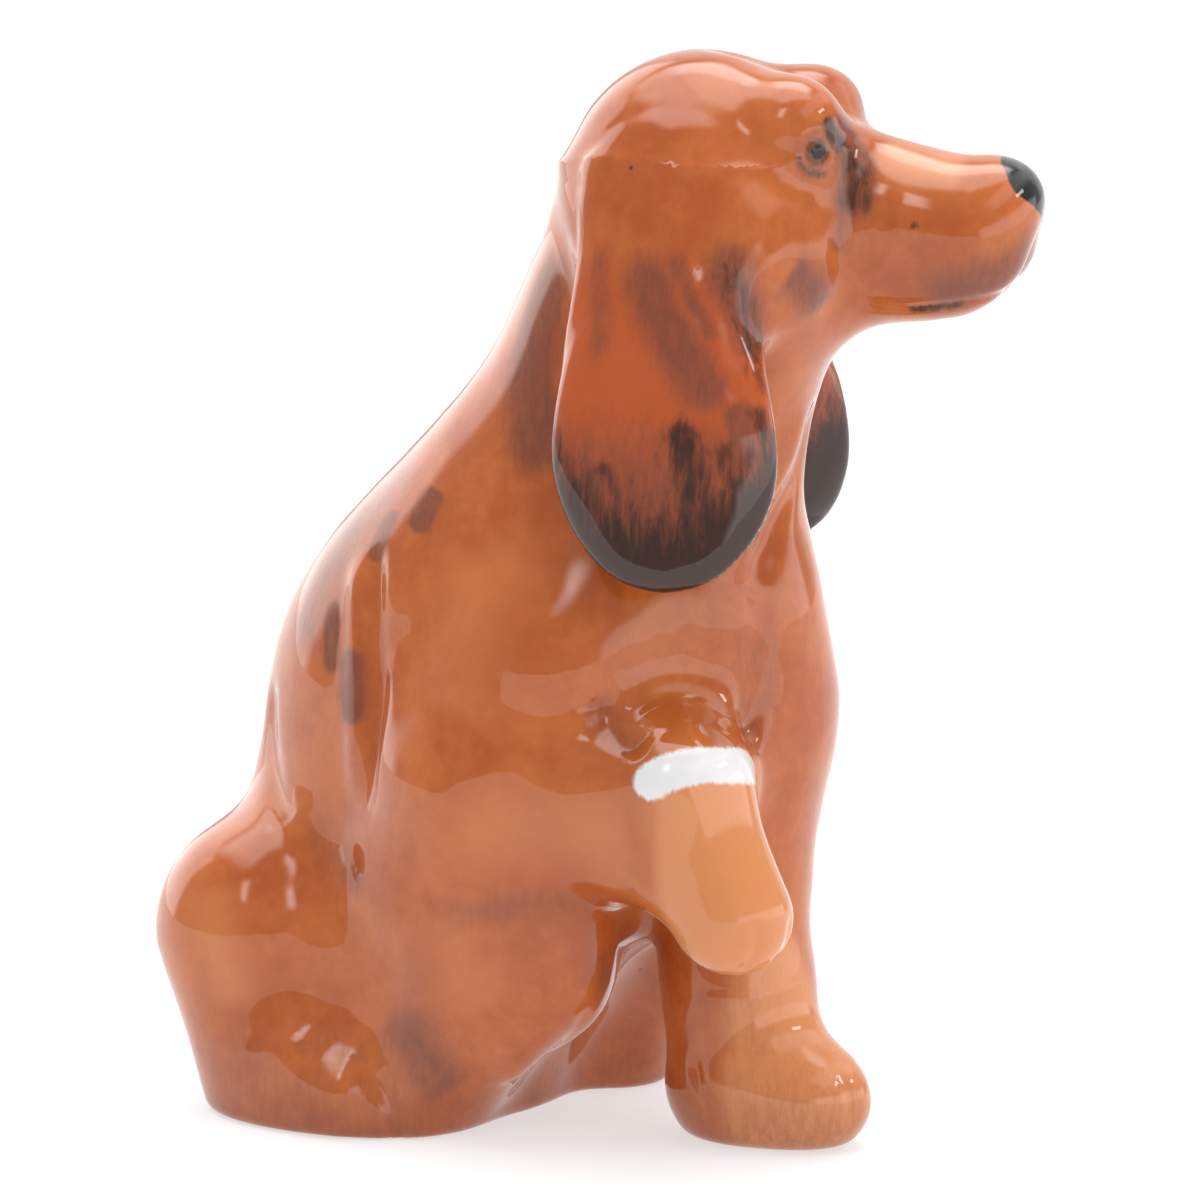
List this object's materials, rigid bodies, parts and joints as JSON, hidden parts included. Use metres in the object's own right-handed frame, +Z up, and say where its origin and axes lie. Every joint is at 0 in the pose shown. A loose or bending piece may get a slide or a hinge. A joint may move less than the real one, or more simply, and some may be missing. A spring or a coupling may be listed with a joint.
{
  "type": "dog figurine",
  "caption": "Glazed ceramic figurine of a seated spaniel, long ears hanging, head turned to its left and right forepaw raised, on a flat base.",
  "frame": {"origin": "on the table plane, under the middle of the box round the figurine", "axes": "+Z up; -Y the way the chest faces; +X the dog's left"},
  "size_m": [0.0286, 0.0532, 0.0645],
  "materials": {
    "body_glaze": "clear gloss glaze over tan and russet underglaze colour",
    "head_glaze": "clear gloss glaze, eyes and nose painted black-brown",
    "ear_glaze": "clear gloss glaze, red-brown with brushed black-brown tips",
    "paw_glaze": "clear gloss glaze, light tan with a white band at the wrist"
  },
  "bodies": {
    "root": {"torso": "body_glaze", "head": "head_glaze", "right_ear": "ear_glaze", "left_ear": "ear_glaze", "raised_foreleg": "paw_glaze", "standing_foreleg": "body_glaze", "right_hind_leg": "body_glaze", "left_hind_leg": "body_glaze", "tail": "body_glaze"}
  },
  "joints": []
}
